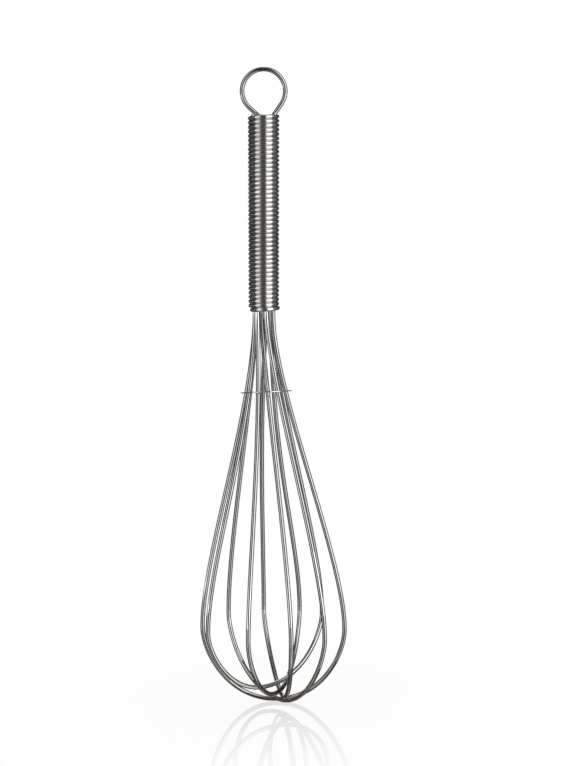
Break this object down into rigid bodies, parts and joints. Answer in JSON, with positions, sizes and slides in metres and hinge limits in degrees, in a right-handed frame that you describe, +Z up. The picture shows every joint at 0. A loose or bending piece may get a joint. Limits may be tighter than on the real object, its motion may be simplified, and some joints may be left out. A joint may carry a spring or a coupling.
{
  "type": "egg whisk",
  "caption": "Balloon whisk of bent steel wire: looped wires that cross at the tip, a close-wound wire handle round their legs, a hanging eye at the top and a thin tie ring round the neck.",
  "frame": {"origin": "on the line where a hook or peg bears on the inside top of the hanging eye, at the handle's axis", "axes": "+Z up along the handle's axis towards the eye, +X to the picture's right in the eye's plane, +Y away from the picture's viewer through the eye"},
  "size_m": [0.0576, 0.0571, 0.2501],
  "materials": {
    "balloon_steel": "bright drawn wire with fine lengthwise lines",
    "coil_steel": "bright drawn wire, polished",
    "core_steel": "plain drawn rod, out of sight",
    "hanger_steel": "bright drawn wire with fine lengthwise lines",
    "ring_steel": "thin drawn wire, satin"
  },
  "bodies": {
    "root": {"balloon_wire_1": "balloon_steel", "balloon_wire_2": "balloon_steel", "balloon_wire_3": "balloon_steel", "balloon_wire_4": "balloon_steel", "balloon_wire_5": "balloon_steel", "handle_coil": "coil_steel", "handle_core": "core_steel", "hanging_loop": "hanger_steel", "tie_ring": "ring_steel"}
  },
  "joints": []
}
